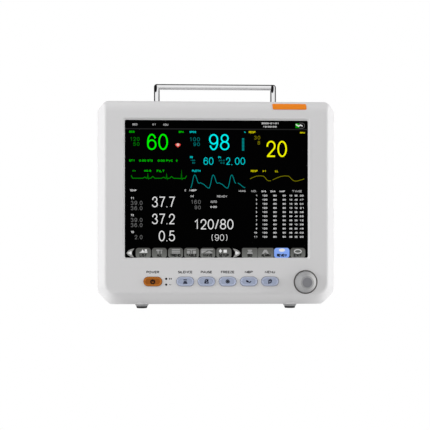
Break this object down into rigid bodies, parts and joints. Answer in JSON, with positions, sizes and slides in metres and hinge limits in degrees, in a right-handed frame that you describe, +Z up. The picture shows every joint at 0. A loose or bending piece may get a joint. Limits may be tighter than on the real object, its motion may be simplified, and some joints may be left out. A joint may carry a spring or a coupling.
{
  "type": "bedside patient monitor",
  "caption": "Bedside patient monitor: wide colour display, row of oval keys, rotary knob, alarm lamp on the top edge, folding chrome carry handle and small round feet.",
  "frame": {"origin": "centre of the bounding box's footprint, on the plane the feet stand on", "axes": "+Z up, +X to the viewer's right along the width, +Y to the back; the display faces -Y"},
  "size_m": [0.3212, 0.166, 0.315],
  "materials": {
    "housing_grey": "fine satin moulding",
    "casing_grey": "fine satin moulding",
    "window": "clear hard-coated sheet",
    "soft_black": "foam rubber",
    "module_steel": "zinc-plated sheet",
    "lcd_glass": "dark glossy panel",
    "backlight_white": "white light guide",
    "lamp_orange": "translucent orange",
    "board_green": "solder-masked board",
    "power_brown": "glossy key",
    "key_blue": "satin key",
    "component_black": "moulded black",
    "light_pipe": "clear rod",
    "knob_grey": "satin moulding",
    "cap_grey": "satin moulding",
    "ring_dark": "satin moulding",
    "bright_steel": "plated steel",
    "chrome": "polished chrome plate",
    "bracket_grey": "satin paint",
    "socket_green": "coloured moulding",
    "socket_blue": "coloured moulding",
    "socket_brown": "coloured moulding",
    "battery_black": "moulded shell",
    "pin_brass": "nickel-tinted brass",
    "heat_sink_metal": "extruded",
    "transformer_yellow": "taped winding",
    "hose_clear": "silicone tube",
    "foot_grey": "satin moulding",
    "foot_rubber": "soft rubber"
  },
  "bodies": {
    "monitor": {"front_bezel": "housing_grey", "rear_casing": "casing_grey", "sensor_panel": "casing_grey", "screen_window": "window", "window_gasket": "soft_black", "casing_seal": "soft_black", "lcd_frame": "module_steel", "lcd_bracket": "module_steel", "chassis_plate": "module_steel", "lcd_panel": "lcd_glass", "lcd_backlight": "backlight_white", "alarm_lamp_lens": "lamp_orange", "alarm_led_board": "board_green", "key_board": "board_green", "main_board": "board_green", "parameter_board": "board_green", "power_supply_board": "board_green", "tact_switches": "component_black", "encoder_body": "component_black", "network_socket": "component_black", "power_inlet": "component_black", "fuse_holders": "component_black", "speaker": "component_black", "nibp_valve": "component_black", "status_light_pipes": "light_pipe", "knob_trim_ring": "ring_dark", "encoder_nut": "bright_steel", "handle_screws": "bright_steel", "casing_screws": "bright_steel", "board_screws": "bright_steel", "battery_door_pin": "bright_steel", "handle_pins": "bright_steel", "nibp_pump": "bright_steel", "nibp_port": "chrome", "handle_bracket_left": "bracket_grey", "handle_bracket_right": "bracket_grey", "ecg_socket": "socket_green", "spo2_socket": "socket_blue", "temp_sockets": "socket_brown", "battery_pack": "battery_black", "inlet_pins": "pin_brass", "ground_terminal": "pin_brass", "threaded_inserts": "pin_brass", "heat_sink": "heat_sink_metal", "transformer": "transformer_yellow", "nibp_hose": "hose_clear", "foot_cups": "foot_grey", "foot_pads": "foot_rubber"},
    "handle": {"handle": "chrome"},
    "power_key": {"power_button": "power_brown"},
    "silence_key": {"silence_button": "key_blue"},
    "pause_key": {"pause_button": "key_blue"},
    "freeze_key": {"freeze_button": "key_blue"},
    "nibp_key": {"nibp_button": "key_blue"},
    "menu_key": {"menu_button": "key_blue"},
    "knob_rotor": {"encoder_rotor": "bright_steel"},
    "knob": {"knob": "knob_grey", "knob_cap": "cap_grey", "encoder_shaft": "bright_steel"},
    "battery_door": {"battery_door": "casing_grey"}
  },
  "joints": [
    {"name": "handle_fold", "type": "hinge", "parent": "monitor", "child": "handle", "pos_m": [0, 0.005, 0.27], "axis": [-1, 0, 0], "range_deg": [0, 90]},
    {"name": "power_press", "type": "slide", "parent": "monitor", "child": "power_key", "axis": [0, 1, 0], "range_m": [0, 0.0008], "stiffness_N_per_m": 1500, "springref_m": -0.0003},
    {"name": "silence_press", "type": "slide", "parent": "monitor", "child": "silence_key", "axis": [0, 1, 0], "range_m": [0, 0.0008], "stiffness_N_per_m": 1500, "springref_m": -0.0003},
    {"name": "pause_press", "type": "slide", "parent": "monitor", "child": "pause_key", "axis": [0, 1, 0], "range_m": [0, 0.0008], "stiffness_N_per_m": 1500, "springref_m": -0.0003},
    {"name": "freeze_press", "type": "slide", "parent": "monitor", "child": "freeze_key", "axis": [0, 1, 0], "range_m": [0, 0.0008], "stiffness_N_per_m": 1500, "springref_m": -0.0003},
    {"name": "nibp_press", "type": "slide", "parent": "monitor", "child": "nibp_key", "axis": [0, 1, 0], "range_m": [0, 0.0008], "stiffness_N_per_m": 1500, "springref_m": -0.0003},
    {"name": "menu_press", "type": "slide", "parent": "monitor", "child": "menu_key", "axis": [0, 1, 0], "range_m": [0, 0.0008], "stiffness_N_per_m": 1500, "springref_m": -0.0003},
    {"name": "knob_turn", "type": "hinge", "parent": "monitor", "child": "knob_rotor", "pos_m": [0.1189, -0.057, 0.0364], "axis": [0, 1, 0], "continuous": true},
    {"name": "knob_press", "type": "slide", "parent": "knob_rotor", "child": "knob", "axis": [0, 1, 0], "range_m": [0, 0.0006], "stiffness_N_per_m": 3000, "springref_m": -0.0004},
    {"name": "battery_door_open", "type": "hinge", "parent": "monitor", "child": "battery_door", "pos_m": [0.1484, 0.043, 0.0304], "axis": [0, 1, 0], "range_deg": [0, 95]}
  ]
}
